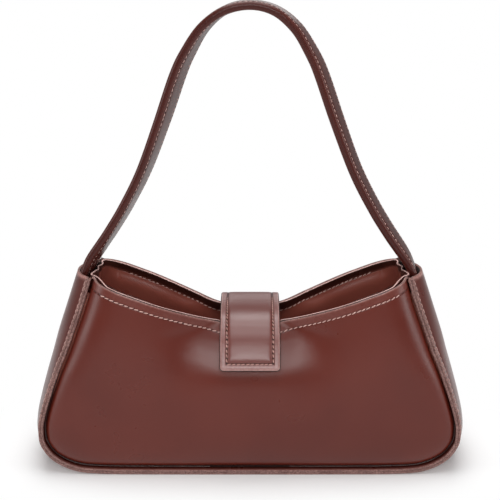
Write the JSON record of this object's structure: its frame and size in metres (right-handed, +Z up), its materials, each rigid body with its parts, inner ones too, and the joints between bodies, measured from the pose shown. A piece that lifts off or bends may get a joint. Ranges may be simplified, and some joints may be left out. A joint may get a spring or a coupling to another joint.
{
  "type": "baguette bag",
  "caption": "Small flat-bottomed shoulder bag with two bowed leather panels, a gusset, a dipped open mouth, a leather shoulder strap and a fold-over tab with a hidden magnetic snap.",
  "frame": {"origin": "middle of the flat base, on the floor", "axes": "+X along the bag to the right as seen from the front, -Y out of the front panel, +Z up"},
  "size_m": [0.2852, 0.0872, 0.3015],
  "materials": {
    "outer_leather": "satin, smooth grain",
    "tab_leather": "satin, smooth grain",
    "strap_leather": "satin, smooth grain",
    "inner_leather": "matte",
    "lining": "matte",
    "padding": "matte",
    "stiffener": "matte",
    "board": "matte",
    "snap_metal": "brushed"
  },
  "bodies": {
    "bag": {"front_panel": "outer_leather", "back_panel": "outer_leather", "gusset": "outer_leather", "front_padding": "padding", "back_padding": "padding", "front_facing": "inner_leather", "back_facing": "inner_leather", "left_facing": "inner_leather", "right_facing": "inner_leather", "front_lining": "lining", "back_lining": "lining", "gusset_lining": "lining", "floor_board": "board", "strap_end_left": "strap_leather", "strap_end_right": "strap_leather", "tab_root_cover": "tab_leather", "tab_root_core": "stiffener", "tab_root_backing": "tab_leather", "snap_magnet": "snap_metal", "snap_magnet_washer": "snap_metal"},
    "strap": {"strap_cover": "strap_leather", "strap_core": "stiffener", "strap_backing": "strap_leather"},
    "tab_bridge": {"tab_bridge_cover": "tab_leather", "tab_bridge_core": "stiffener", "tab_bridge_backing": "tab_leather"},
    "tab_flap": {"tab_flap_cover": "tab_leather", "tab_flap_core": "stiffener", "tab_flap_backing": "tab_leather", "snap_plate": "snap_metal", "snap_plate_washer": "snap_metal"}
  },
  "joints": [
    {"name": "strap_swing", "type": "hinge", "parent": "bag", "child": "strap", "pos_m": [0, 0, 0.13805], "axis": [1, 0, 0], "range_deg": [-60, 60]},
    {"name": "tab_lift", "type": "hinge", "parent": "bag", "child": "tab_bridge", "pos_m": [0, 0.02286, 0.10605], "axis": [-1, 0, 0], "range_deg": [0, 110]},
    {"name": "tab_fold", "type": "hinge", "parent": "tab_bridge", "child": "tab_flap", "pos_m": [0, -0.02664, 0.10605], "axis": [-1, 0, 0], "range_deg": [0, 100]}
  ]
}
